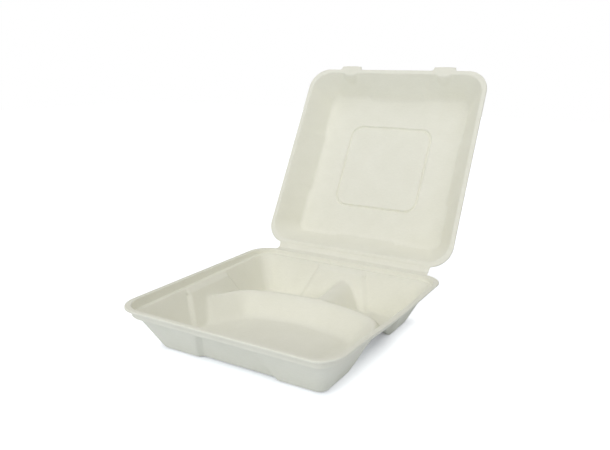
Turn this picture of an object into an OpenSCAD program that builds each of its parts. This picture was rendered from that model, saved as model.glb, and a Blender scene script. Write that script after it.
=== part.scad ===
// Moulded fibre meal box with a hinged lid and three compartments.
// The origin is on the table, under the middle of the tray. +X is to the right,
// +Y is towards the hinge at the back, and +Z is up. The lid stands open.

/* [Rim] */
// Width of the rim, left to right
rim_w = 230; // [200:1:260]
// Depth of the rim, front to back, without the hinge
rim_d = 233; // [205:1:270]
// Corner radius of the rim's outer edge
rim_r = 25; // [18:1:34]
// Width of the flat flange round the tray and the lid
flange_w = 5; // [4:0.5:8]

/* [Tray] */
// Height of the tray from the table to the top of its flange
tray_h = 43.5; // [34:0.5:50]
// Thickness of the tray's moulded sheet
tray_wall = 1; // [0.7:0.1:1.4]
// Drop from the flange to the ledge inside the rim
riser_h = 7; // [4:0.5:9]
// Width of the ledge at the foot of the riser
ledge_w = 4.5; // [3:0.5:8]
// How far the foot of the wall stands in from the rim's outer edge
tray_inset = 31; // [26:1:34]
// Radius of the bend between the wall and the floor
tray_bend = 7; // [4:0.5:9]
// Corner radius of the wall just under the ledge
wall_r = 16; // [12:1:24]
// Corner radius of the tray's floor
floor_r = 9; // [6:1:18]

/* [Wall steps] */
// How far the middle of each wall stands in from its ends
step_in = 3.6; // [2:0.2:5]
// Half the length of the stepped-in middle, at the top of the wall
step_top = 31; // [24:1:40]
// Half the length of the stepped-in middle, at the foot of the wall
step_foot = 42; // [28:1:48]
// Length of the ramp at each end of the step
step_ramp = 5; // [4:0.5:8]

/* [Dividers] */
// Height of the dividers' crest above the floor
divider_h = 21.5; // [14:0.5:26]
// Slope of the dividers' flanks from upright, in degrees
flank_angle = 40; // [34:1:46]
// Radius of the rounded crest
crest_r = 4; // [2.5:0.5:6]
// How far the curved divider's ends, at the side walls, stand in front of its middle
bow_rise = 58; // [40:1:70]
// Where the bow's crest crosses the middle of the tray, behind its centre
bow_y = 47; // [34:1:54]

// How far the straight divider stands to the right of the middle
ridge_x = 5; // [0:1:20]

/* [Lid] */
// Depth of the lid from its flange to its panel
lid_depth = 30; // [24:1:40]
// Thickness of the lid's moulded sheet
lid_wall = 0.6; // [0.5:0.05:1.1]
// How far the edge of the panel stands in from the rim's outer edge
lid_inset = 25; // [22:1:32]
// Radius of the bend between the lid's wall and its panel
lid_bend = 6; // [4:0.5:8]
// Corner radius of the lid's panel
panel_r = 13; // [9:1:18]
// Side of the rounded square pressed into the panel
badge_w = 104; // [80:1:120]
// Corner radius of the rounded square
badge_r = 14; // [8:1:20]
// Width of the pressed line
line_w = 3; // [2:0.5:5]
// Depth of the pressed line
line_depth = 0.9; // [0.5:0.1:1.5]

/* [Closing tabs] */
// Width of each tab on the lid's front edge
tab_w = 28; // [20:1:34]
// How far a tab stands out from the lid's edge
tab_out = 4.5; // [3:0.5:7]
// Distance from the middle of the lid to the middle of a tab
tab_x = 61; // [50:1:72]
// Radius of the half-round pad behind each tab, which is a finger pocket from outside
pad_r = 10; // [7:0.5:12]
// Depth of the pad's top below the lid's flange
pad_depth = 3.5; // [2:0.5:6]

/* [Hinge] */
// Length of the folding web along the back of the rim
web_w = 188; // [120:1:196]
// Half the length of the folding web, from the rim to the fold
web_half = 6; // [5:0.2:9]
// Angle between the closed lid and the lid as it stands open, in degrees
open_angle = 119; // [95:1:150]
// Half of the room left between the two halves at the fold
fold_gap = 0.15; // [0.1:0.05:0.3]

/* [Hidden] */

fibre = "#DEDCCB";

// Segments in a corner, a step's ramp, a bend, half a crest, a bow and a pad
corner_seg = 6;
ramp_seg = 3;
bend_seg = 3;
crest_seg = 4;
bow_seg = 16;
pad_seg = 24;

// How far a cutting shape runs past what it cuts, and the shortest length that counts
above = 2;
eps = 0.01;

// How far the sheet takes to turn a tight edge, and how far down the wall its step takes to come in
turn = 1;
step_drop = 5;

// The fold line of the web, and the angle from the lid lying flat to the lid as it stands
fold_y = rim_d / 2 + web_half;
fold_z = tray_h + fold_gap;
flat_angle = 180 - open_angle;

// How much wider a pad is at its foot, and the corner radius of a tab
pad_flare = 4;
tab_r = 2;

// A quarter round as a list of points, from angle a0 to a0 + 90
function quarter(c, r, a0) =
    [for (i = [0:corner_seg]) c + r * [cos(a0 + 90 * i / corner_seg), sin(a0 + 90 * i / corner_seg)]];

// Share of the full step at point i of its ramp, eased at both ends
function ramp_share(i) = (1 - cos(180 * i / ramp_seg)) / 2;

// One straight side's step, as [distance along, distance in] pairs that run from minus to plus
function step_points(half, depth) = concat(
    [for (i = [0:ramp_seg]) [-half - step_ramp * (1 - i / ramp_seg), depth * ramp_share(i)]],
    [for (i = [ramp_seg:-1:0]) [half + step_ramp * (1 - i / ramp_seg), depth * ramp_share(i)]]);

// A rounded rectangle seen from above, with a step in the middle of each of its four sides
function outline(w, d, r, half, depth) =
    let (x = w / 2, y = d / 2, s = step_points(half, depth)) concat(
        [for (p = s) [p[0], -y + p[1]]],
        quarter([x - r, -y + r], r, -90),
        [for (p = s) [x - p[1], p[0]]],
        quarter([x - r, y - r], r, 0),
        [for (p = s) [-p[0], y - p[1]]],
        quarter([-x + r, y - r], r, 90),
        [for (p = s) [-x + p[1], -p[0]]],
        quarter([-x + r, -y + r], r, 180));

// A ring of the sheet, from a station: [inset from the rim, height, corner radius, step share, half step]
function ring(station) =
    let (in = station[0], step = step_in * station[3])
    [for (p = outline(rim_w - 2 * in, rim_d - 2 * in, station[2], station[4], step))
        [p[0], p[1], station[1]]];

// Unit normal of a profile at station i, pointing out of the sheet's outer face
function normal_at(profile, i) =
    let (a = profile[max(i - 1, 0)], b = profile[min(i + 1, len(profile) - 1)],
         along = [b[0] - a[0], b[1] - a[1]]) [along[1], -along[0]] / norm(along);

// The profile moved out along its normals by the sheet's thickness t
function thicken(profile, t) =
    [for (i = [0:len(profile) - 1]) let (p = profile[i], n = normal_at(profile, i))
        [p[0] + t * n[0], p[1] + t * n[1], p[2] - t * n[0], p[3], p[4]]];

// A solid lofted through rings that all have the same number of points, closed by a fan at each end
module loft(rings) {
    n = len(rings[0]);
    last = len(rings) - 1;
    function middle(r) = [for (q = r) 1] * r / len(r);
    points = concat([for (r = rings) each r], [middle(rings[0]), middle(rings[last])]);
    top_middle = n * (last + 1);
    faces = concat(
        [for (k = [0:last - 1], i = [0:n - 1]) let (j = (i + 1) % n)
            each [[k * n + i, k * n + j, (k + 1) * n + j], [k * n + i, (k + 1) * n + j, (k + 1) * n + i]]],
        [for (i = [0:n - 1]) [top_middle, (i + 1) % n, i]],
        [for (i = [0:n - 1]) [top_middle + 1, last * n + i, last * n + (i + 1) % n]]);
    polyhedron(points, faces, convexity = 8);
}

// A radius that changes evenly with height, from r0 at z0 to r1 at z1
function radius_at(z, z0, r0, z1, r1) = r0 + (r1 - r0) * (z - z0) / (z1 - z0);

// Bend from a sloping wall into a flat floor, as [inset, height] pairs, given where the two would meet
function bend(foot_in, floor_z, radius, slope) =
    let (reach = radius * tan((90 - slope) / 2))
    [for (i = [0:bend_seg]) let (a = (90 - slope) * (1 - i / bend_seg))
        [foot_in + reach - radius * sin(a), floor_z + radius * (1 - cos(a))]];

// Inner face of the tray, from the flange's inner edge to the floor
ledge_in = flange_w + turn + ledge_w;
ledge_z = tray_h - riser_h;
tray_slope = atan((tray_inset - ledge_in) / (ledge_z - tray_wall));
riser_r = (rim_r + wall_r) / 2;
function wall_corner(z) = radius_at(z, tray_wall, floor_r, ledge_z, wall_r);
tray_profile = concat(
    [[flange_w - turn, tray_h, rim_r - turn, 0, step_top],
     [flange_w, tray_h - turn / 2, rim_r, 0, step_top],
     [flange_w + turn, ledge_z + turn, riser_r, 0, step_top],
     [flange_w + 2 * turn, ledge_z, riser_r + turn, 0, step_top],
     [ledge_in - turn, ledge_z, wall_r, 0, step_top],
     [ledge_in + turn / 2, ledge_z - turn, wall_r, 0.4, step_top]],
    [let (z = ledge_z - step_drop)
        [ledge_in + step_drop * tan(tray_slope), z, wall_corner(z), 1, step_top]],
    [for (p = bend(tray_inset, tray_wall, tray_bend, tray_slope))
        [p[0], p[1], wall_corner(p[1]), 1, step_foot]]);

// Inner face of the lid as it lies flat and hollow side up, its flange level with the tray's
lid_floor_z = tray_h - lid_depth;
panel_z = lid_floor_z + lid_wall;
lid_slope = atan((lid_inset - flange_w) / (tray_h - panel_z));
function lid_corner(z) = radius_at(z, panel_z, panel_r, tray_h, rim_r);
lid_profile = concat(
    [[flange_w - turn, tray_h, rim_r - turn, 0, step_top],
     [flange_w + turn / 2, tray_h - turn, rim_r - turn / 2, 0, step_top]],
    [for (k = [1, 2]) let (z = tray_h - k * step_drop)
        [flange_w + k * step_drop * tan(lid_slope), z, lid_corner(z), k / 2, step_top]],
    [for (p = bend(lid_inset, panel_z, lid_bend, lid_slope)) [p[0], p[1], lid_corner(p[1]), 1, step_foot]]);

// Outside of the shell: the flange's edge, its underside, and then the thickened profile
function shell_outside(profile, t) = concat(
    [[0, tray_h, rim_r, 0, step_top], [0, tray_h - t, rim_r, 0, step_top]],
    [for (p = thicken(profile, t)) if (p[1] < tray_h - t - eps || p[0] > flange_w - turn - t)
        [p[0], min(p[1], tray_h - t), p[2], p[3], p[4]]]);

// Inside of the shell, from above the flange down to the floor
function shell_inside(profile) = concat(
    [[profile[0][0], tray_h + above, profile[0][2], 0, step_top]], profile);

module filled(profile, t) {
    loft([for (s = shell_outside(profile, t)) ring(s)]);
}

module hollow(profile) {
    loft([for (s = shell_inside(profile)) ring(s)]);
}

// Cross-section of a divider over the floor: a rounded crest on two straight flanks. The sheet's
// underside follows the same line, further in by the sheet's thickness.
function wedge(sheet) =
    let (centre_z = divider_h - crest_r, r = crest_r - sheet,
         half = [for (i = [0:crest_seg]) let (a = (90 - flank_angle) * i / crest_seg)
             [r * sin(a), centre_z + r * cos(a)]],
         end = half[crest_seg], foot = [end[0] + (end[1] + above) * tan(flank_angle), -above])
    concat(half, [foot, [-foot[0], foot[1]]], [for (i = [crest_seg:-1:1]) [-half[i][0], half[i][1]]]);

// The dividers: a bow from wall to wall, and a straight ridge from the bow to the back wall
bow_reach = rim_w / 2 - ledge_in;
bow_r = (bow_reach * bow_reach + bow_rise * bow_rise) / (2 * bow_rise);
bow_half = asin(bow_reach / bow_r);

module dividers(sheet, floor_z) {
    section = wedge(sheet);
    loft([for (i = [0:bow_seg]) let (a = bow_half * (1 - 2 * i / bow_seg))
        [for (p = section) let (r = bow_r - p[0])
            [r * sin(a), bow_y - bow_r + r * cos(a), floor_z + p[1]]]]);
    loft([for (y = [bow_y, rim_d / 2 - ledge_in])
        [for (p = section) [ridge_x - p[0], y, floor_z + p[1]]]]);
}

// The tray's half of the folding web, level with the flange
module web(t) {
    translate([-web_w / 2, rim_d / 2 - flange_w / 2, tray_h - t])
        cube([web_w, flange_w / 2 + web_half - fold_gap, t]);
}

module base_tray() {
    color(fibre) union() {
        difference() {
            filled(tray_profile, tray_wall);
            dividers(tray_wall, tray_wall);
            difference() {
                hollow(tray_profile);
                dividers(0, tray_wall);
            }
        }
        web(tray_wall);
    }
}

// A rounded rectangle seen from above
function rounded(w, d, r) = let (x = w / 2 - r, y = d / 2 - r) concat(
    quarter([x, -y], r, -90), quarter([x, y], r, 0), quarter([-x, y], r, 90), quarter([-x, -y], r, 180));

// A plate with rounded corners, from height z0 up to z1, its lower face smaller by taper all round
module plate(w, d, r, z0, z1, taper = 0) {
    loft([for (k = [[z1, 0], [z0, taper]])
        [for (p = rounded(w - 2 * k[1], d - 2 * k[1], r - k[1])) [p[0], p[1], k[0]]]]);
}

// The pressed line as a square ring that narrows downwards, from height z1 down to z0
module pressed_line(width, z0, z1) {
    slant = width / 5;
    difference() {
        plate(badge_w + width, badge_w + width, badge_r + width / 2, z0, z1, slant);
        plate(badge_w - width, badge_w - width, badge_r - width / 2, z0 - eps, z1 + eps, -slant);
    }
}

// The two pads behind the tabs: half cones that rise from the front wall
module pads(sheet) {
    for (x = [-tab_x, tab_x]) loft([
        for (k = [[tray_h - pad_depth - sheet, pad_r], [lid_floor_z + lid_bend, pad_r + pad_flare]])
            [for (i = [0:pad_seg - 1]) let (a = 360 * (i + 0.5) / pad_seg)
                [x + (k[1] - sheet) * cos(a), -rim_d / 2 + flange_w + (k[1] - sheet) * sin(a), k[0]]]]);
}

// The lid lying flat, hollow side up, as it leaves the mould, with its tabs at the front
module lid_flat() {
    difference() {
        union() {
            difference() {
                filled(lid_profile, lid_wall);
                pads(lid_wall);
            }
            pressed_line(line_w + 2 * lid_wall, lid_floor_z - line_depth, panel_z - lid_wall / 2);
            for (x = [-tab_x, tab_x]) translate([x, -rim_d / 2, 0])
                plate(tab_w, 2 * tab_out, tab_r, tray_h - lid_wall, tray_h);
        }
        difference() {
            union() {
                hollow(lid_profile);
                pressed_line(line_w, panel_z - line_depth, panel_z + line_depth);
            }
            pads(0);
        }
    }
    web(lid_wall);
}

module lid() {
    color(fibre)
        translate([0, fold_y, fold_z]) rotate([flat_angle, 0, 0]) translate([0, -fold_y, -fold_z])
            translate([0, fold_y, 0]) mirror([0, 1, 0]) translate([0, -fold_y, 0]) lid_flat();
}

base_tray();
lid();
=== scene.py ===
# %% [markdown]
# # A moulded fibre meal box
# This box starts as a flat mat of wet plant fibre. Two heated tools press the mat into a tray with three
# compartments, a deep lid and a soft strip between them, and the strip is folded to make the hinge.
# The lesson makes it the same way: a flat grid is pressed into each half by a rule, and then it gets the
# thickness of the sheet. The CAD frame is loaded first, because every piece has to sit where its solid sits.

# %% Load the frame
import math
import bpy
from mathutils import Matrix, Vector


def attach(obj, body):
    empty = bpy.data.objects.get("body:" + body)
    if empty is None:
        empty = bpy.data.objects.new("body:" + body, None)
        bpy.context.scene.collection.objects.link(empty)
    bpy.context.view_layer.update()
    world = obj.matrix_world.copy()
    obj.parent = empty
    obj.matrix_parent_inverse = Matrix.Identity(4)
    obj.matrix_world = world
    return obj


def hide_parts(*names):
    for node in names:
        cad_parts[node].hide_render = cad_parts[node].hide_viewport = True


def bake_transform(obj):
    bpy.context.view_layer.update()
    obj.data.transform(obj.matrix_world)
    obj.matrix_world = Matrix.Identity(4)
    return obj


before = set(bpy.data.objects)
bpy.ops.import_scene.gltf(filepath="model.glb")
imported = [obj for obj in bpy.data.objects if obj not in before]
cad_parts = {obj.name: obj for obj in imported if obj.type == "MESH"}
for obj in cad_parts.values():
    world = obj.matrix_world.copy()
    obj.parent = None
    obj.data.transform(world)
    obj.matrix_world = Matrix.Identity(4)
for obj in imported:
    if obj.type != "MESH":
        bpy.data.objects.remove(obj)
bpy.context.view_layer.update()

# %% [markdown]
# ## Sizes that both halves share
# All sizes are in millimetres, as a maker would write them, and `mm` turns them into Blender's metres.
# The rim of the tray and the rim of the lid are the same rounded rectangle, because they close on each other.

# %% Shared sizes
mm = 0.001
rim_w, rim_d, rim_r = 230, 233, 25
flange_w, flange_r = 5, 23
# the edge of the flange rolls over, and the lip reaches down this far
lip_r, lip_drop = 0.8, 1.52
tray_h, lid_depth = 43.5, 30
tray_wall, lid_wall = 1, 0.6
print(f"closed box {rim_w} x {rim_d} x {tray_h + lid_depth} mm")

# %% [markdown]
# ## Helpers
# Every node tree below, for shape or for colour, is built by one function. It adds a node, sets its
# properties and fills or links its inputs. The three kinds of node that come up most get a short name.
# Another function turns an sRGB hex colour, as a paint program shows it, into the linear colour that a
# shader works with. The last one puts points, edges and faces into the scene as an object.

# %% Helpers
MATH, VECTOR, RANGE = "ShaderNodeMath", "ShaderNodeVectorMath", "ShaderNodeMapRange"


def add(tree, kind, links=None, **settings):
    """Adds one node. A node given as an input stands for its first output."""
    node = tree.nodes.new(kind)
    for name, value in settings.items():
        setattr(node, name, value)
    for key, value in (links or {}).items():
        if isinstance(value, bpy.types.Node):
            value = value.outputs[0]
        if isinstance(value, bpy.types.NodeSocket):
            tree.links.new(value, node.inputs[key])
        else:
            node.inputs[key].default_value = value
    return node


def empty_tree(owner):
    """The node tree of a material or a world, with nothing in it."""
    owner.use_nodes = True
    owner.node_tree.nodes.clear()
    return owner.node_tree


def linear(hex_colour):
    """sRGB hex to a linear RGBA colour."""
    parts = [int(hex_colour[i:i + 2], 16) / 255 for i in (1, 3, 5)]
    return [c / 12.92 if c <= 0.04045 else ((c + 0.055) / 1.055) ** 2.4 for c in parts] + [1]


def mesh_object(name, verts, edges, faces):
    """An object at the origin, with its place in its mesh."""
    mesh = bpy.data.meshes.new(name)
    mesh.from_pydata(verts, edges, faces)
    obj = bpy.data.objects.new(name, mesh)
    bpy.context.scene.collection.objects.link(obj)
    return obj


def chain(points):
    """The edges that join points one after the other."""
    return [(i, i + 1) for i in range(len(points) - 1)]


print("ivory in linear light:", [round(c, 3) for c in linear("#EEEDE0")])

# %% [markdown]
# ## Moulded bagasse fibre
# The sheet is sugar-cane fibre, pressed and dried in the mould, with no coating. It is a warm ivory, nearly
# matt, with a soft cloudiness where the pulp settled thicker or thinner, and short fibres that show as fine
# pale and dark strokes. A plain colour would look like plastic, so three noises of different real sizes are
# laid over each other: clouds of about 22 mm, strokes of about 4 mm, and a felt grain that is used for the
# bump. Object coordinates keep them still on the piece.

# %% The fibre material
# pressed, uncoated fibre: soft broad highlights, no gloss, and a faint felt under raking light
fibre = bpy.data.materials.new("moulded bagasse fibre")
t = empty_tree(fibre)
place = add(t, "ShaderNodeTexCoord").outputs["Object"]
# pulp clouds, about 22 mm across: noise scale is one over the size in metres
clouds = add(t, "ShaderNodeTexNoise", {"Vector": place, "Scale": 1 / (22 * mm), "Detail": 3.0,
                                       "Roughness": 0.55})
# fibre strokes, about 4 mm long and under 1 mm wide; real ones are finer, and would not show
lengthways = add(t, "ShaderNodeMapping", {
    "Vector": place, "Scale": (1 / (4 * mm), 1 / (0.9 * mm), 1 / (1.6 * mm)), "Rotation": (0.4, 0.3, 0.6)})
strokes = add(t, "ShaderNodeTexNoise", {"Vector": lengthways, "Scale": 1.0, "Detail": 2.0,
                                        "Roughness": 0.6, "Distortion": 0.8})
cloud_tone = add(t, "ShaderNodeValToRGB", {"Fac": clouds})
for stop, position, tone in zip(cloud_tone.color_ramp.elements, (0.3, 0.7), ("#EBEADC", "#EEEDE0")):
    stop.position, stop.color = position, linear(tone)
stroke_tone = add(t, RANGE, {"Value": strokes, "From Min": 0.3, "From Max": 0.7,
                             "To Min": 0.98, "To Max": 1.01})
colour = add(t, "ShaderNodeMix", {0: 1.0, 6: cloud_tone, 7: stroke_tone},
             data_type="RGBA", blend_type="MULTIPLY")
# felt grain for the bump, drawn at 1.4 mm because the real grain of 0.3 mm would not show
grain = add(t, "ShaderNodeTexNoise", {"Vector": place, "Scale": 1 / (1.4 * mm), "Detail": 2.0,
                                      "Roughness": 0.5})
bump = add(t, "ShaderNodeBump", {"Height": grain, "Strength": 0.12, "Distance": 0.3 * mm})
rough = add(t, RANGE, {"Value": clouds, "From Min": 0.3, "From Max": 0.7, "To Min": 0.78, "To Max": 0.88})
skin = add(t, "ShaderNodeBsdfPrincipled", {"Base Color": colour.outputs[2], "Roughness": rough,
                                           "Normal": bump, "IOR": 1.46, "Specular IOR Level": 0.35})
add(t, "ShaderNodeOutputMaterial", {"Surface": skin})
print("material", fibre.name, "with", len(t.nodes), "nodes")

# %% [markdown]
# ## Trees that shape a sheet
# Three Geometry Nodes trees shape the box: one presses the sheet, one lifts the dividers and one finishes the
# lid. They begin and end alike. Each takes a sheet and named sizes, works out a new place for every point,
# makes the result real and gives it the fibre. So the two ends are written once, here.

# %% Begin and end a tree
def shape_tree(name, inputs):
    """A tree with named inputs, listed by their kind of socket, and one sheet as its output."""
    tree = bpy.data.node_groups.new(name, "GeometryNodeTree")
    for kind, labels in inputs.items():
        for label in labels:
            tree.interface.new_socket(label, in_out="INPUT", socket_type="NodeSocket" + kind)
    tree.interface.new_socket("Result", in_out="OUTPUT", socket_type="NodeSocketGeometry")
    return tree, add(tree, "NodeGroupInput").outputs


def end_tree(tree, sheet, x, y, z):
    """Moves every point of the sheet to x, y, z, and hands on a real mesh with the fibre on it."""
    spot = add(tree, "ShaderNodeCombineXYZ", {0: x, 1: y, 2: z})
    formed = add(tree, "GeometryNodeSetPosition", {"Geometry": sheet, "Position": spot})
    real = add(tree, "GeometryNodeRealizeInstances", {"Geometry": formed})
    done = add(tree, "GeometryNodeSetMaterial", {"Geometry": real, "Material": fibre})
    add(tree, "NodeGroupOutput", {"Result": done})
    print(tree.name, "tree with", len(tree.nodes), "nodes")


# %% [markdown]
# ## The pressing rule
# Seen from above, every level of the tray is a rounded rectangle, and so is every level of the lid. So one
# rule can press both: the grid's square rings become those rounded rectangles, one after the other. A profile
# gives each ring its place: how far in from the rim it lies, how high, how round its corners are, and how far
# the middle of each side steps in. Lofting rings in mesh code would leave a pole in the floor. A grid keeps
# even, square faces there, which the dividers need.

# %% The grid, and what the profile says about each ring
press, given = shape_tree("Press the sheet", {
    "Geometry": ["Profile"], "Float": ["Width", "Depth", "Step ramp", "Side step"], "Int": ["Rings"]})
# a grid from -1 to 1, with one square ring for each station of the profile
across = add(press, MATH, {0: given["Rings"], 1: 2.0, 2: 1.0}, operation="MULTIPLY_ADD")
grid = add(press, "GeometryNodeMeshGrid", {"Size X": 2.0, "Size Y": 2.0,
                                           "Vertices X": across, "Vertices Y": across})
at = add(press, "ShaderNodeSeparateXYZ", {0: add(press, "GeometryNodeInputPosition")}).outputs
u, v = (add(press, MATH, {0: at[axis]}, operation="ABSOLUTE") for axis in (0, 1))
far = add(press, MATH, {0: u, 1: v}, operation="MAXIMUM")
near = add(press, MATH, {0: u, 1: v}, operation="MINIMUM")
count = add(press, MATH, {0: far, 1: given["Rings"]}, operation="MULTIPLY")
station = add(press, MATH, {0: count}, operation="ROUND")
looked_up = {}
for name in ("place", "step", "half", "shrink"):
    kind = "FLOAT_VECTOR" if name == "place" else "FLOAT"
    field = add(press, "GeometryNodeInputPosition") if name == "place" else \
        add(press, "GeometryNodeInputNamedAttribute", {"Name": name}, data_type="FLOAT")
    looked_up[name] = add(press, "GeometryNodeSampleIndex", {
        "Geometry": given["Profile"], "Value": field, "Index": station},
        data_type=kind, domain="POINT", clamp=True)
inset, height, corner = add(press, "ShaderNodeSeparateXYZ", {0: looked_up["place"]}).outputs
print("the profile gives", ", ".join(looked_up))

# %% Along a side and round its corner
inward = add(press, MATH, {0: inset, 1: -1.0}, operation="MULTIPLY")
half_w, half_d = (add(press, MATH, {0: given[size], 1: 0.5, 2: inward}, operation="MULTIPLY_ADD")
                  for size in ("Width", "Depth"))
side = add(press, MATH, {0: u, 1: v}, operation="GREATER_THAN")
out_to = add(press, "ShaderNodeMix", {0: side, 2: half_d, 3: half_w})
along_to = add(press, "ShaderNodeMix", {0: side, 2: half_w, 3: half_d})
# straight at first, then round half a corner
straight = add(press, MATH, {0: along_to, 1: corner}, operation="SUBTRACT")
reach = add(press, MATH, {0: corner, 1: math.pi / 4, 2: straight}, operation="MULTIPLY_ADD")
never_zero = add(press, MATH, {0: far, 1: 1e-6}, operation="MAXIMUM")
share = add(press, MATH, {0: near, 1: never_zero}, operation="DIVIDE")
run = add(press, MATH, {0: share, 1: reach}, operation="MULTIPLY")
beyond = add(press, MATH, {0: run, 1: straight}, operation="SUBTRACT")
past = add(press, MATH, {0: beyond, 1: 0.0}, operation="MAXIMUM")
angle = add(press, MATH, {0: past, 1: corner}, operation="DIVIDE")
flat_run = add(press, MATH, {0: run, 1: straight}, operation="MINIMUM")
sine = add(press, MATH, {0: angle}, operation="SINE")
along = add(press, MATH, {0: sine, 1: corner, 2: flat_run}, operation="MULTIPLY_ADD")
pulled = add(press, MATH, {0: out_to, 1: corner}, operation="SUBTRACT")
cosine = add(press, MATH, {0: angle}, operation="COSINE")
outline = add(press, MATH, {0: cosine, 1: corner, 2: pulled}, operation="MULTIPLY_ADD")
print("rings follow rounded rectangles")

# %% The step in each side, and the pressed sheet
# the middle of each side steps in, with an eased ramp at each end of the step
half = add(press, MATH, {0: side, 1: given["Side step"], 2: looked_up["half"]}, operation="MULTIPLY_ADD")
ramp_end = add(press, MATH, {0: half, 1: given["Step ramp"]}, operation="ADD")
stepped = add(press, RANGE, {"Value": run, "From Min": half, "From Max": ramp_end,
                             "To Min": 1.0, "To Max": 0.0}, interpolation_type="SMOOTHSTEP")
step = add(press, MATH, {0: stepped, 1: looked_up["step"]}, operation="MULTIPLY")
out = add(press, MATH, {0: outline, 1: step}, operation="SUBTRACT")
spot = []
for axis, on_ends, on_sides in ((0, along, out), (1, out, along)):
    size = add(press, "ShaderNodeMix", {0: side, 2: on_ends, 3: on_sides})
    sign = add(press, MATH, {0: at[axis]}, operation="SIGN")
    signed = add(press, MATH, {0: sign, 1: size}, operation="MULTIPLY")
    spot.append(add(press, MATH, {0: signed, 1: looked_up["shrink"]}, operation="MULTIPLY"))
end_tree(press, grid.outputs["Mesh"], *spot, height)

# %% [markdown]
# ## Profiles
# A profile is the line that a cut through the middle of a side shows. It is written as a few corners with a
# radius each, from the floor out to the rim, and the next cell rounds them, because a fibre sheet never turns
# a sharp edge. The points are kept close together on the wall, where the dividers will meet it. Each point
# also says how far the step comes in there and how long half of it is. The sizes are those of the CAD part,
# apart from the foot of the tray's wall and the steps, which are a little crisper.

# %% Rounded profiles
def rounded_profile(corners, spacing, bend_step=11):
    """Points along corners of (inset, height, bend radius, plan radius, step, half the step's length).

    A bend gets a point about every bend_step degrees, and the lines between get one every spacing."""
    points = []
    for i, (inset, height, radius, *rest) in enumerate(corners):
        here = Vector((inset, height))
        if i in (0, len(corners) - 1):
            points.append((inset, height, *rest))
            continue
        before, after = Vector(corners[i - 1][:2]) - here, Vector(corners[i + 1][:2]) - here
        bend = math.pi - before.angle(after)
        before.normalize()
        after.normalize()
        cut = radius * math.tan(bend / 2)
        first, last = here + before * cut, here + after * cut
        centre = here + (before + after).normalized() * radius / math.cos(bend / 2)
        n = max(3, round(math.degrees(bend) / bend_step))
        for k in range(n + 1):
            swing = (first - centre).angle_signed(last - centre) * k / n
            arm = Matrix.Rotation(-swing, 2) @ (first - centre)
            points.append((centre.x + arm.x, centre.y + arm.y, *rest))
    filled = [points[0]]
    for p, q in zip(points, points[1:]):
        n = max(1, math.ceil(math.hypot(q[0] - p[0], q[1] - p[1]) / spacing))
        filled += [tuple(a + (b - a) * k / n for a, b in zip(p, q)) for k in range(1, n + 1)]
    return filled


def even(first, last, gap):
    """Numbers from first up to last, without last, about a gap apart."""
    n = max(1, round((last - first) / gap))
    return [first + (last - first) * k / n for k in range(n)]


# %% The tray's profile
floor_in, foot_in, foot_bend, foot_r = 37, 30.4, 4.55, 7
ledge_in, ledge_z, wall_r, riser_r, riser_lean = 10.5, 36.5, 16, 20.5, 1.4
shoulder_in, shoulder_z, shoulder_bend = ledge_in + 2.6, ledge_z - 4.4, 2.5
step_in, ledge_step, step_top, step_foot = 3.6, 0.6, 27, 39
tight, tray_spacing, floor_spacing = 1.0, 2.4, 1.95
tray_line = rounded_profile([
    (floor_in, tray_wall, 0, foot_r, step_in, step_foot),
    (foot_in, tray_wall, foot_bend, foot_r, step_in, step_foot),
    (shoulder_in, shoulder_z, shoulder_bend, wall_r - 1, step_in, step_top),
    (ledge_in, ledge_z, tight, wall_r, ledge_step, step_top),
    (flange_w + riser_lean, ledge_z, tight, riser_r, 0, step_top),
    (flange_w, tray_h, tight, flange_r, 0, step_top),
    (0, tray_h, lip_r, rim_r, 0, step_top),
    (0, tray_h - lip_drop, 0, rim_r, 0, step_top)], tray_spacing)
tray_floor = even(0, 1, floor_spacing / (rim_w / 2 - floor_in))
print("tray profile with", len(tray_line), "stations on the wall and", len(tray_floor), "on the floor")

# %% The lid's profile
panel_in, lid_in, lid_bend, panel_r = 31, 25, 6, 13
panel_z = tray_h - lid_depth + lid_wall
lid_step_in, lid_step_top, lid_step_foot = 2.2, 27, 33
flange_bend, lid_spacing, panel_spacing, fine_spacing = 1.6, 2.0, 1.7, 0.5
square_w, square_r = 104, 14
lid_line = rounded_profile([
    (panel_in, panel_z, 0, panel_r, lid_step_in, lid_step_foot),
    (lid_in, panel_z, lid_bend, panel_r, lid_step_in, lid_step_foot),
    (flange_w, tray_h, flange_bend, flange_r, 0, lid_step_top),
    (0, tray_h, lip_r, rim_r, 0, lid_step_top),
    (0, tray_h - lip_drop, 0, rim_r, 0, lid_step_top)], lid_spacing)
# the rings lie closer together where the pressed square will be
panel_half = rim_w / 2 - panel_in
fine_from, fine_to = (square_w / 2 - 6) / panel_half, (square_w / 2 + 3) / panel_half
lid_floor = []
for first, last, gap in ((0, fine_from, panel_spacing), (fine_from, fine_to, fine_spacing),
                         (fine_to, 1, panel_spacing)):
    lid_floor += even(first, last, gap / panel_half)
print("lid profile with", len(lid_line), "stations on the wall and", len(lid_floor), "on the panel")

# %% [markdown]
# ## The dividers
# In the mould, a curved ridge from wall to wall keeps the front compartment apart, and a short straight ridge
# splits the back. A ridge could be modelled on its own and joined with a Boolean, but then its foot would be a
# hard seam. Here the sheet is lifted instead. Each ridge follows a line, and a second tree works out from the
# distance to that line how high the ridge is over every point. A smooth maximum of that and the sheet lets
# the fibre run into the ridge in one soft curve.

# %% The lines that the dividers follow
def line_object(name, points):
    """A line on the floor plane, in metres."""
    return mesh_object(name, [(x * mm, y * mm, 0) for x, y in points], chain(points), [])


def arc(centre, radius, first, last, n):
    """n + 1 points round a centre. The angle is measured from straight back, towards the right."""
    angles = [first + (last - first) * k / n for k in range(n + 1)]
    return [(centre[0] + radius * math.sin(a), centre[1] + radius * math.cos(a)) for a in angles]


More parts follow.
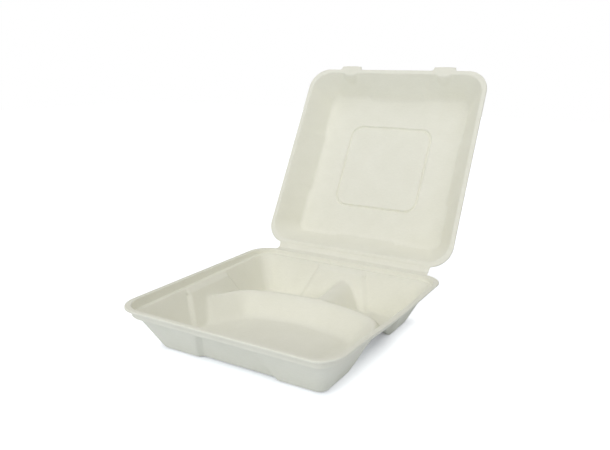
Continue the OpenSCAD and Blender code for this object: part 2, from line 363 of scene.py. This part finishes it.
# half of the bow: a long flat arc, then a turn into a short run forward along the side wall
bow_back, bow_r, bow_half, bow_end = 40.5, 190, 66, (92.8, -9)
turn_r, turn_to = 28, math.radians(65)
lean = math.asin(bow_half / bow_r)
long_arc = arc((0, bow_back - bow_r), bow_r, 0, lean, 24)
turn_at = [c - turn_r * d for c, d in zip(long_arc[-1], (math.sin(lean), math.cos(lean)))]
half_bow = long_arc + arc(turn_at, turn_r, lean, turn_to, 10)[1:] + [bow_end]
bow_line = line_object("bow line", [(-x, y) for x, y in reversed(half_bow)] + half_bow[1:])
ridge_x, ridge_front, ridge_back = 9, 48, 108
ridge_line = line_object("ridge line", [(ridge_x, ridge_front), (ridge_x, ridge_back)])
print("bow line with", len(bow_line.data.vertices), "points, ridge line at x", ridge_x, "mm")

# %% The floor panel and the height of each divider
dividers, given = shape_tree("Lift the dividers", {
    "Geometry": ["Sheet"], "Object": ["Bow", "Ridge"],
    "Float": ["Crest", "Bow slope", "Bow softness", "Ridge slope", "Ridge softness", "Ridge rise", "Fillet",
              "Floor height", "Floor panel", "Floor lift", "Ledge height", "Rim height", "Ledge tilt",
              "Rim sag"]})
panel_ease, floor_skin, ridge_full = 3, 0.4, 96
at = add(dividers, "ShaderNodeSeparateXYZ", {0: add(dividers, "GeometryNodeInputPosition")}).outputs
# the middle of the floor is a flat panel that stands a little higher
width = add(dividers, MATH, {0: at[0]}, operation="ABSOLUTE")
panel_edge = add(dividers, MATH, {0: given["Floor panel"], 1: panel_ease * mm}, operation="ADD")
panel = add(dividers, RANGE, {"Value": width, "From Min": given["Floor panel"], "From Max": panel_edge,
                              "To Min": given["Floor lift"], "To Max": 0.0}, interpolation_type="SMOOTHSTEP")
low = add(dividers, MATH, {0: given["Floor height"], 1: floor_skin * mm}, operation="ADD")
on_floor = add(dividers, MATH, {0: at[2], 1: low}, operation="LESS_THAN")
sheet = add(dividers, MATH, {0: panel, 1: on_floor, 2: at[2]}, operation="MULTIPLY_ADD")
# a divider falls off with the distance from its line, softly at the crest; the ridge climbs to the back
below = add(dividers, "ShaderNodeCombineXYZ", {0: at[0], 1: at[1]})
rise = add(dividers, RANGE, {"Value": at[1], "From Min": ridge_front * mm, "From Max": ridge_full * mm,
                             "To Min": 0.0, "To Max": given["Ridge rise"]})
heights = []
for name, lift in (("Bow", 0.0), ("Ridge", rise)):
    soft = given[name + " softness"]
    line = add(dividers, "GeometryNodeObjectInfo", {"Object": given[name]})
    away = add(dividers, "GeometryNodeProximity", {"Geometry": line.outputs["Geometry"],
                                                   "Sample Position": below}, target_element="EDGES")
    up = add(dividers, MATH, {0: away.outputs["Distance"], 1: given[name + " slope"]}, operation="MULTIPLY")
    down = add(dividers, MATH, {0: up, 1: -1.0}, operation="MULTIPLY")
    wedge = add(dividers, MATH, {0: up, 1: down, 2: soft}, operation="SMOOTH_MIN")
    # the smooth minimum lowers the crest by a sixth of its softness, which is given back here
    top = add(dividers, MATH, {0: soft, 1: 1 / 6, 2: given["Crest"]}, operation="MULTIPLY_ADD")
    raised = add(dividers, MATH, {0: top, 1: lift}, operation="ADD")
    heights.append(add(dividers, MATH, {0: raised, 1: wedge}, operation="ADD"))
crests = add(dividers, MATH, {0: heights[0], 1: heights[1], 2: given["Fillet"]}, operation="SMOOTH_MAX")
lifted = add(dividers, MATH, {0: sheet, 1: crests, 2: given["Fillet"]}, operation="SMOOTH_MAX")
print("heights worked out for", len(heights), "dividers")

# %% The ledge and the rim, as this soft sheet dried
# the ledge lies a little lower in front than at the back; the floor and the rim stay level
climb = add(dividers, RANGE, {"Value": lifted, "From Min": given["Floor height"],
                              "From Max": given["Ledge height"]})
fade = add(dividers, RANGE, {"Value": lifted, "From Min": given["Rim height"],
                             "From Max": given["Ledge height"]})
tent = add(dividers, MATH, {0: climb, 1: fade}, operation="MINIMUM")
tilt = add(dividers, MATH, {0: at[1], 1: given["Ledge tilt"]}, operation="MULTIPLY")
z = add(dividers, MATH, {0: tilt, 1: tent, 2: lifted}, operation="MULTIPLY_ADD")
# the rim is drawn in a little on the right, towards the front corner
sag_in, sag_full, sag_back, sag_front = 88, 112, 15, -88
outer = add(dividers, RANGE, {"Value": at[0], "From Min": sag_in * mm, "From Max": sag_full * mm},
            interpolation_type="SMOOTHSTEP")
front = add(dividers, RANGE, {"Value": at[1], "From Min": sag_back * mm, "From Max": sag_front * mm},
            interpolation_type="SMOOTHSTEP")
share = add(dividers, MATH, {0: outer, 1: front}, operation="MULTIPLY")
drawn = add(dividers, MATH, {0: share, 1: given["Rim sag"]}, operation="MULTIPLY")
x = add(dividers, MATH, {0: at[0], 1: drawn}, operation="SUBTRACT")
end_tree(dividers, given["Sheet"], x, at[1], z)

# %% [markdown]
# ## From tree to plain mesh
# A tree's inputs are set through the identifiers of its sockets, before Blender first works the object out.
# The finished piece is then copied out as a plain mesh, at the origin, and the object that carried the
# modifiers is removed, so that nothing is left to be worked out again when the box is posed.

# %% Run the trees
def profile_object(name, line, floor):
    """Vertices at (inset, height, plan radius) in metres. The floor's rings shrink the first station."""
    stations = [(*line[0], part) for part in floor] + [(*s, 1) for s in line]
    obj = mesh_object(name, [[c * mm for c in s[:3]] for s in stations], chain(stations), [])
    for slot, key, unit in ((3, "step", mm), (4, "half", mm), (5, "shrink", 1)):
        values = obj.data.attributes.new(key, "FLOAT", "POINT").data
        values.foreach_set("value", [s[slot] * unit for s in stations])
    return obj


def run_trees(carrier, steps, thickness, edge_share=0.28, edge_angle=60):
    """Runs each (tree, sizes) on the carrier, gives the sheet its thickness, and returns a plain mesh."""
    for tree, sizes in steps:
        mod = carrier.modifiers.new(tree.name, "NODES")
        mod.node_group = tree
        sockets = {s.name: s.identifier for s in tree.interface.items_tree if s.in_out == "INPUT"}
        for name, value in sizes.items():
            mod[sockets[name]] = value
    wall = carrier.modifiers.new("sheet thickness", "SOLIDIFY")
    wall.thickness, wall.offset, wall.use_quality_normals = thickness * mm, -1, True
    edge = carrier.modifiers.new("trimmed edge", "BEVEL")
    edge.width, edge.segments = edge_share * thickness * mm, 2
    edge.limit_method, edge.angle_limit = "ANGLE", math.radians(edge_angle)
    seen = carrier.evaluated_get(bpy.context.evaluated_depsgraph_get())
    mesh = bpy.data.meshes.new_from_object(seen)
    bpy.data.objects.remove(carrier)
    return mesh


def finished(name, mesh):
    """A piece at the origin with the fibre on it."""
    mesh.materials.clear()
    mesh.materials.append(fibre)
    mesh.shade_smooth()
    obj = bpy.data.objects.new(name, mesh)
    bpy.context.scene.collection.objects.link(obj)
    triangles = sum(len(p.vertices) - 2 for p in mesh.polygons)
    print(name, len(mesh.vertices), "points,", triangles, "triangles")
    return obj


# %% The tray
divider_h, flank_angle = 22.8, 40
tray_mesh = run_trees(profile_object("tray profile", tray_line, tray_floor), [
    (press, {"Width": rim_w * mm, "Depth": rim_d * mm, "Step ramp": 3 * mm, "Side step": 3 * mm,
             "Rings": len(tray_line) + len(tray_floor) - 1}),
    (dividers, {"Bow": bow_line, "Ridge": ridge_line, "Crest": divider_h * mm,
                "Bow slope": 1 / math.tan(math.radians(flank_angle)), "Bow softness": 17 * mm,
                "Ridge slope": 1.7, "Ridge softness": 100 * mm, "Ridge rise": 3 * mm, "Fillet": 8 * mm,
                "Floor height": tray_wall * mm, "Floor panel": 50 * mm, "Floor lift": 0.6 * mm,
                "Ledge height": ledge_z * mm, "Rim height": tray_h * mm,
                "Ledge tilt": 0.018, "Rim sag": 5.5 * mm})], tray_wall)
for line in (bow_line, ridge_line):
    bpy.data.objects.remove(line)
tray = finished("tray_sheet", tray_mesh)

# %% [markdown]
# ## The lid's panel, pads and tabs
# The lid is pressed by the same rule with a shallower profile. Its panel carries a rounded square, pressed as a
# fine line that stiffens it. Two half-round pads swell out of the front wall, and over each of them a tab
# reaches out from the front edge, to lift the lid by. All of them follow from the distance to a simple
# outline, so a third tree moves the points of the sheet: down in the line, up on the pads, out at the tabs.

# %% The pressed square
finish_lid, given = shape_tree("Finish the lid", {
    "Geometry": ["Sheet"],
    "Float": ["Square side", "Square corner", "Line width", "Line depth", "Panel height", "Tab place",
              "Tab width", "Tab reach", "Front edge", "Flange", "Pad radius", "Pad height",
              "Flange height"]})
line_flat, panel_skin = 0.2, 0.3
spot = add(finish_lid, "GeometryNodeInputPosition")
at = add(finish_lid, "ShaderNodeSeparateXYZ", {0: spot}).outputs
flat = add(finish_lid, VECTOR, {0: spot, 1: (1, 1, 0)}, operation="MULTIPLY")
# distance to the outline of a rounded square, worked out in one quarter of it
quarter = add(finish_lid, VECTOR, {0: flat}, operation="ABSOLUTE")
less = add(finish_lid, MATH, {0: given["Square corner"], 1: -1.0}, operation="MULTIPLY")
core = add(finish_lid, MATH, {0: given["Square side"], 1: 0.5, 2: less}, operation="MULTIPLY_ADD")
corner_at = add(finish_lid, "ShaderNodeCombineXYZ", {0: core, 1: core})
past = add(finish_lid, VECTOR, {0: quarter, 1: corner_at}, operation="SUBTRACT")
only_past = add(finish_lid, VECTOR, {0: past, 1: (0, 0, 0)}, operation="MAXIMUM")
outside = add(finish_lid, VECTOR, {0: only_past}, operation="LENGTH").outputs["Value"]
past_x, past_y, _ = add(finish_lid, "ShaderNodeSeparateXYZ", {0: past}).outputs
further = add(finish_lid, MATH, {0: past_x, 1: past_y}, operation="MAXIMUM")
inside = add(finish_lid, MATH, {0: further, 1: 0.0}, operation="MINIMUM")
from_core = add(finish_lid, MATH, {0: outside, 1: inside}, operation="ADD")
to_square = add(finish_lid, MATH, {0: from_core, 1: given["Square corner"]}, operation="SUBTRACT")
off_line = add(finish_lid, MATH, {0: to_square}, operation="ABSOLUTE")
groove = add(finish_lid, RANGE, {"Value": off_line, "From Min": line_flat * mm, "From Max": given["Line width"],
                                 "To Min": given["Line depth"], "To Max": 0.0},
             interpolation_type="SMOOTHSTEP")
low = add(finish_lid, MATH, {0: given["Panel height"], 1: panel_skin * mm}, operation="ADD")
on_panel = add(finish_lid, MATH, {0: at[2], 1: low}, operation="LESS_THAN")
depth = add(finish_lid, MATH, {0: groove, 1: on_panel}, operation="MULTIPLY")
sunk = add(finish_lid, MATH, {0: at[2], 1: depth}, operation="SUBTRACT")
print("square line", square_w, "mm wide with corners of", square_r, "mm")

# %% The pads and the tabs
pad_core, tab_ease = 0.55, 1.4
# the pads: half-round swellings of the wall below each tab, level with the flange at most
width = add(finish_lid, MATH, {0: at[0]}, operation="ABSOLUTE")
from_tab = add(finish_lid, MATH, {0: width, 1: given["Tab place"]}, operation="SUBTRACT")
inner_edge = add(finish_lid, MATH, {0: given["Front edge"], 1: given["Flange"]}, operation="SUBTRACT")
from_edge = add(finish_lid, MATH, {0: at[1], 1: inner_edge}, operation="SUBTRACT")
to_pad = add(finish_lid, "ShaderNodeCombineXYZ", {0: from_tab, 1: from_edge})
from_pad = add(finish_lid, VECTOR, {0: to_pad}, operation="LENGTH").outputs["Value"]
core = add(finish_lid, MATH, {0: given["Pad radius"], 1: pad_core}, operation="MULTIPLY")
swell = add(finish_lid, RANGE, {"Value": from_pad, "From Min": core, "From Max": given["Pad radius"],
                                "To Min": given["Pad height"], "To Max": 0.0},
            interpolation_type="SMOOTHSTEP")
swollen = add(finish_lid, MATH, {0: sunk, 1: swell}, operation="ADD")
z = add(finish_lid, MATH, {0: swollen, 1: given["Flange height"]}, operation="MINIMUM")
# the tabs: the front edge of the flange reaches out, full in the middle of a tab and eased at its ends
half_tab = add(finish_lid, MATH, {0: given["Tab width"], 1: 0.5}, operation="MULTIPLY")
tab_end = add(finish_lid, MATH, {0: half_tab, 1: tab_ease * mm}, operation="SUBTRACT")
off_tab = add(finish_lid, MATH, {0: from_tab}, operation="ABSOLUTE")
tab = add(finish_lid, RANGE, {"Value": off_tab, "From Min": tab_end, "From Max": half_tab,
                              "To Min": given["Tab reach"], "To Max": 0.0}, interpolation_type="SMOOTHSTEP")
on_flange = add(finish_lid, RANGE, {"Value": at[1], "From Min": inner_edge, "From Max": given["Front edge"]})
y = add(finish_lid, MATH, {0: tab, 1: on_flange, 2: at[1]}, operation="MULTIPLY_ADD")
end_tree(finish_lid, given["Sheet"], at[0], y, z)

# %% The lid
tab_w, tab_out, tab_x, pad_r, pad_h = 28, 4.5, 61, 10, 4
line_half, line_depth = 1.8, 1.8
lid_mesh = run_trees(profile_object("lid profile", lid_line, lid_floor), [
    (press, {"Width": rim_w * mm, "Depth": rim_d * mm, "Step ramp": 8 * mm, "Side step": 0.0,
             "Rings": len(lid_line) + len(lid_floor) - 1}),
    (finish_lid, {"Square side": square_w * mm, "Square corner": square_r * mm, "Line width": line_half * mm,
                  "Line depth": line_depth * mm, "Panel height": panel_z * mm, "Tab place": tab_x * mm,
                  "Tab width": tab_w * mm, "Tab reach": tab_out * mm, "Front edge": rim_d / 2 * mm,
                  "Flange": flange_w * mm, "Pad radius": pad_r * mm, "Pad height": pad_h * mm,
                  "Flange height": tray_h * mm})], lid_wall)
# the lid was pressed lying flat at the origin: it moves out behind the fold, and swings up about it
web_half, fold_gap, open_angle = 6, 0.15, 119
fold = Vector((0, rim_d / 2 + web_half, tray_h + fold_gap))
swing_up = math.radians(180 - open_angle)
to_fold, out_behind = Matrix.Translation(fold * mm), Matrix.Translation((0, 2 * fold.y * mm, 0))
lid_mesh.transform(to_fold @ Matrix.Rotation(swing_up, 4, "X") @ to_fold.inverted() @ out_behind)
lid = finished("lid_sheet", lid_mesh)

# %% [markdown]
# ## The folding web
# The tray and the lid are one sheet, and the strip between them is folded once. It lies level with the tray's
# flange, turns round the fold in a small radius, and goes up in the plane of the lid's flange. Its ends flare
# into the two rims, as the trimming die leaves them. It is a single strip of a few dozen rows, so plain mesh
# code makes it, and the same Solidify as on the sheets gives it its thickness.

# %% The web
web_w, web_wall, web_cells = 188, 0.6, 120


def web_path(soft=2.2, inside=1.4, under=0.4, ease=1.2, flare_w=1.6, flare_reach=2.2):
    """[y, z, flare] down the middle of the strip's upper face, in millimetres. Its ends lie inside the rims."""
    up = Vector((math.cos(swing_up), math.sin(swing_up)))
    over = Vector((-up.y, up.x))
    knee = Vector((fold.y, tray_h))
    start, end = knee - Vector((web_half, 0)), knee + up * web_half
    points = [start + Vector((-inside, -under)), start + Vector((0, -under)),
              start + Vector((ease, -0.2 * under))]
    a, b = knee + Vector((-soft, 0)), knee + up * soft
    points += [points[-1].lerp(a, k / 3) for k in range(1, 4)]
    points += [a * (1 - s) ** 2 + knee * 2 * s * (1 - s) + b * s ** 2 for s in (k / 8 for k in range(1, 8))]
    last = [end - up * ease - over * 0.2 * under, end - over * under, end + up * inside - over * under]
    points += [b.lerp(last[0], k / 3) for k in range(3)] + last
    to_end = [min((p - start).length, (p - end).length) for p in points]
    return [(p.x, p.y, flare_w * max(0, 1 - d / flare_reach) ** 2) for p, d in zip(points, to_end)]


verts, faces, row = [], [], web_cells + 1
for y, z, flare in web_path():
    half = web_w / 2 + flare
    verts += [((-half + 2 * half * i / web_cells) * mm, y * mm, z * mm) for i in range(row)]
for j in range(len(verts) // row - 1):
    faces += [(a, a + 1, a + row + 1, a + row) for a in range(j * row, j * row + web_cells)]
web = finished("fold_web", run_trees(mesh_object("web", verts, [], faces), [], web_wall))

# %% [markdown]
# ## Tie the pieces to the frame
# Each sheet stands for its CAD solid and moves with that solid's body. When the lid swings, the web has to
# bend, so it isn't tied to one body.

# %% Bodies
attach(tray, "tray")
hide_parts("base_tray")
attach(lid, "lid")
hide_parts("lid")
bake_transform(web)

# %% [markdown]
# ## Studio
# The box stands on a white sweep, in soft light from the front, the right and above. The floor is a plain pale
# surface that still takes the box's shadow. It gets a part of its white from a glow that only the camera sees,
# and so does the background, so that neither puts more light on the box. Round the box's foot the glow is
# weaker, which paints a grey shade there besides the real contact shadow.

# %% The floor
def shown(tree):
    """1 for the rays that show a thing to the camera, also in a mirror or through glass, and 0 for light."""
    rays = add(tree, "ShaderNodeLightPath").outputs
    seen = add(tree, MATH, {0: rays["Is Camera Ray"], 1: rays["Is Glossy Ray"]}, operation="MAXIMUM")
    return add(tree, MATH, {0: seen, 1: rays["Is Transmission Ray"]}, operation="MAXIMUM")


# matt, uncoated paper, a little cool as bright white paper is
sweep = bpy.data.materials.new("white paper sweep")
t = empty_tree(sweep)
foot_w, foot_d, painted_shade_reach, sweep_half = 80, 82, 18, 3
# the glow is weak close to the foot of the box and grows further out, so a painted grey shade rings the foot
# besides its real contact shadow
place = add(t, "ShaderNodeTexCoord").outputs["Object"]
quarter = add(t, VECTOR, {0: place}, operation="ABSOLUTE")
past = add(t, VECTOR, {0: quarter, 1: (foot_w * mm, foot_d * mm, 0)}, operation="SUBTRACT")
only_past = add(t, VECTOR, {0: past, 1: (0, 0, 0)}, operation="MAXIMUM")
away = add(t, VECTOR, {0: only_past}, operation="LENGTH").outputs["Value"]
# painted shade: less glow near the foot makes the floor there grey, lit or not
close = add(t, RANGE, {"Value": away, "From Min": 0.0, "From Max": painted_shade_reach * mm,
                       "To Min": 0.2, "To Max": 0.7})
far = add(t, RANGE, {"Value": away, "From Min": 60 * mm, "From Max": 600 * mm, "To Min": 0.0, "To Max": 0.2})
bright = add(t, MATH, {0: close, 1: far}, operation="ADD")
glow = add(t, MATH, {0: shown(t), 1: bright}, operation="MULTIPLY")
paper = add(t, "ShaderNodeBsdfDiffuse", {"Color": linear("#EDF2FA")})
light = add(t, "ShaderNodeEmission", {"Color": linear("#FFFFFF"), "Strength": glow})
add(t, "ShaderNodeOutputMaterial", {"Surface": add(t, "ShaderNodeAddShader", {0: paper, 1: light})})
floor_corners = [(x * sweep_half, y * sweep_half, 0) for x, y in ((-1, -1), (1, -1), (1, 1), (-1, 1))]
floor = mesh_object("floor", floor_corners, [], [(0, 1, 2, 3)])
floor.data.materials.append(sweep)
print("floor", 2 * sweep_half, "m wide")

# %% The world and the lamps
world = bpy.data.worlds.new("studio")
bpy.context.scene.world = world
t = empty_tree(world)
dome = add(t, "ShaderNodeBackground", {"Color": linear("#FFFFFF"), "Strength": 0.32})
white = add(t, "ShaderNodeBackground", {"Color": linear("#FFFFFF"), "Strength": 1.0})
add(t, "ShaderNodeOutputWorld", {"Surface": add(t, "ShaderNodeMixShader", {0: shown(t), 1: dome, 2: white})})
aim = Vector((0, 0.06, 0.1))
for name, place, size, watts in (("front softbox", (-0.55, -1.95, 1.15), 1.4, 17.2),
                                 ("right softbox", (1.75, -1.2, 1.2), 1.2, 9.6),
                                 ("top softbox", (-0.1, -0.2, 2.2), 1.2, 9.2)):
    light = bpy.data.lights.new(name, "AREA")
    light.shape, light.size, light.energy = "DISK", size, watts
    lamp = bpy.data.objects.new(name, light)
    facing = (aim - Vector(place)).to_track_quat("-Z", "Y").to_matrix().to_4x4()
    lamp.matrix_world = Matrix.Translation(place) @ facing
    bpy.context.scene.collection.objects.link(lamp)
    print(name, watts, "W")

# %% [markdown]
# ## Camera
# The camera stands in front of the box, a little to its right and a little above it. Its place, angle and lens
# were worked out from the straight edges of the two rims. The small shift is the picture's own framing.

# %% Camera
view = bpy.data.cameras.new("camera")
view.sensor_fit, view.sensor_width, view.lens = "HORIZONTAL", 36, 37.05
view.shift_x, view.shift_y = -0.0237, -0.0424
camera = bpy.data.objects.new("camera", view)
azimuth, elevation, roll = (math.radians(a) for a in (29.57, 11.74, 0.68))
level = math.cos(elevation)
back = Vector((math.sin(azimuth) * level, -math.cos(azimuth) * level, math.sin(elevation)))
right = (-back).cross(Vector((0, 0, 1))).normalized()
above = right.cross(-back)
tilted = right * math.cos(roll) + above * math.sin(roll)
upward = above * math.cos(roll) - right * math.sin(roll)
turned = Matrix((tilted, upward, back)).transposed().to_4x4()
camera.matrix_world = Matrix.Translation((0.30556, -0.48504, 0.25311)) @ turned
bpy.context.scene.collection.objects.link(camera)
bpy.context.scene.camera = camera
bpy.context.scene.view_settings.view_transform = "Standard"
print("camera at", [round(c, 3) for c in camera.location])
